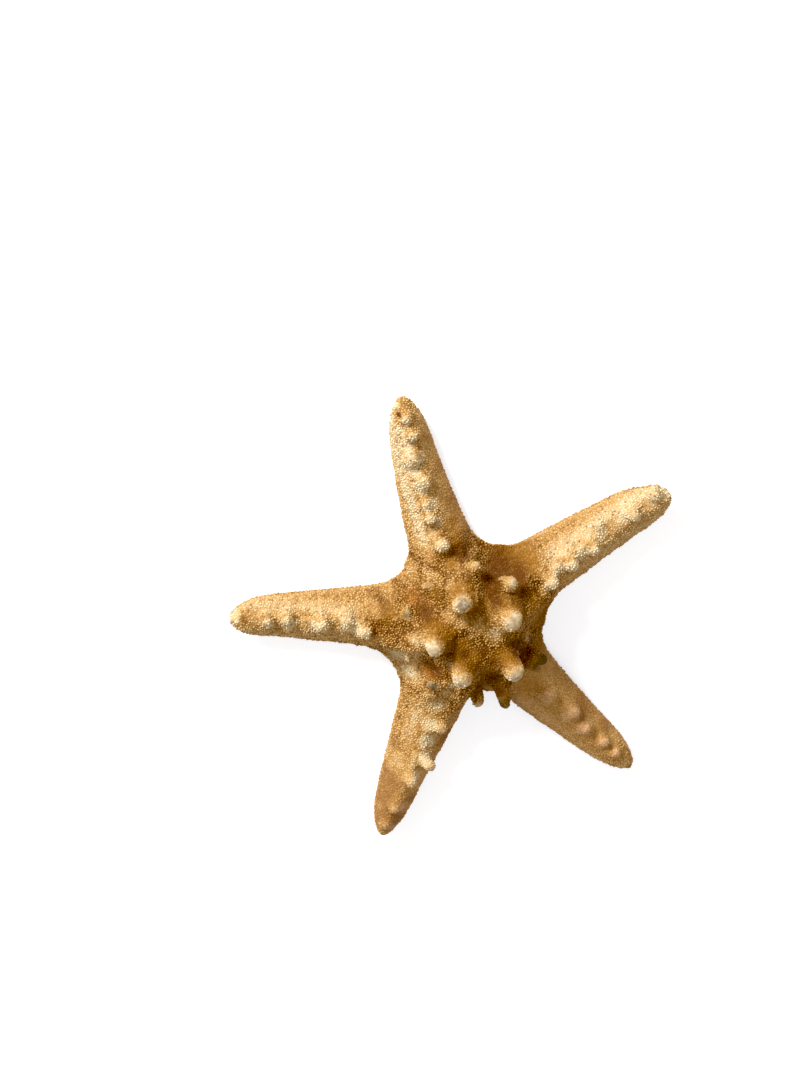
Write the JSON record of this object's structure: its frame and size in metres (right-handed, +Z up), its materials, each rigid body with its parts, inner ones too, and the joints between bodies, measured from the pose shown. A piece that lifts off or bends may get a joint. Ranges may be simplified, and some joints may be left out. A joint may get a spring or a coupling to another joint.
{
  "type": "dried starfish",
  "caption": "Dried knobby starfish with tapering arms, blunt horns on a domed disc and a grooved flat underside.",
  "frame": {"origin": "bottom centre of the bounding box, on the surface that the starfish lies on", "axes": "+Z up out of the knobby upper side, +Y roughly along one arm, +X to that arm's right seen from above"},
  "size_m": [0.1062, 0.1082, 0.0241],
  "materials": {
    "starfish": "matte"
  },
  "bodies": {
    "root": {"starfish": "starfish"}
  },
  "joints": []
}
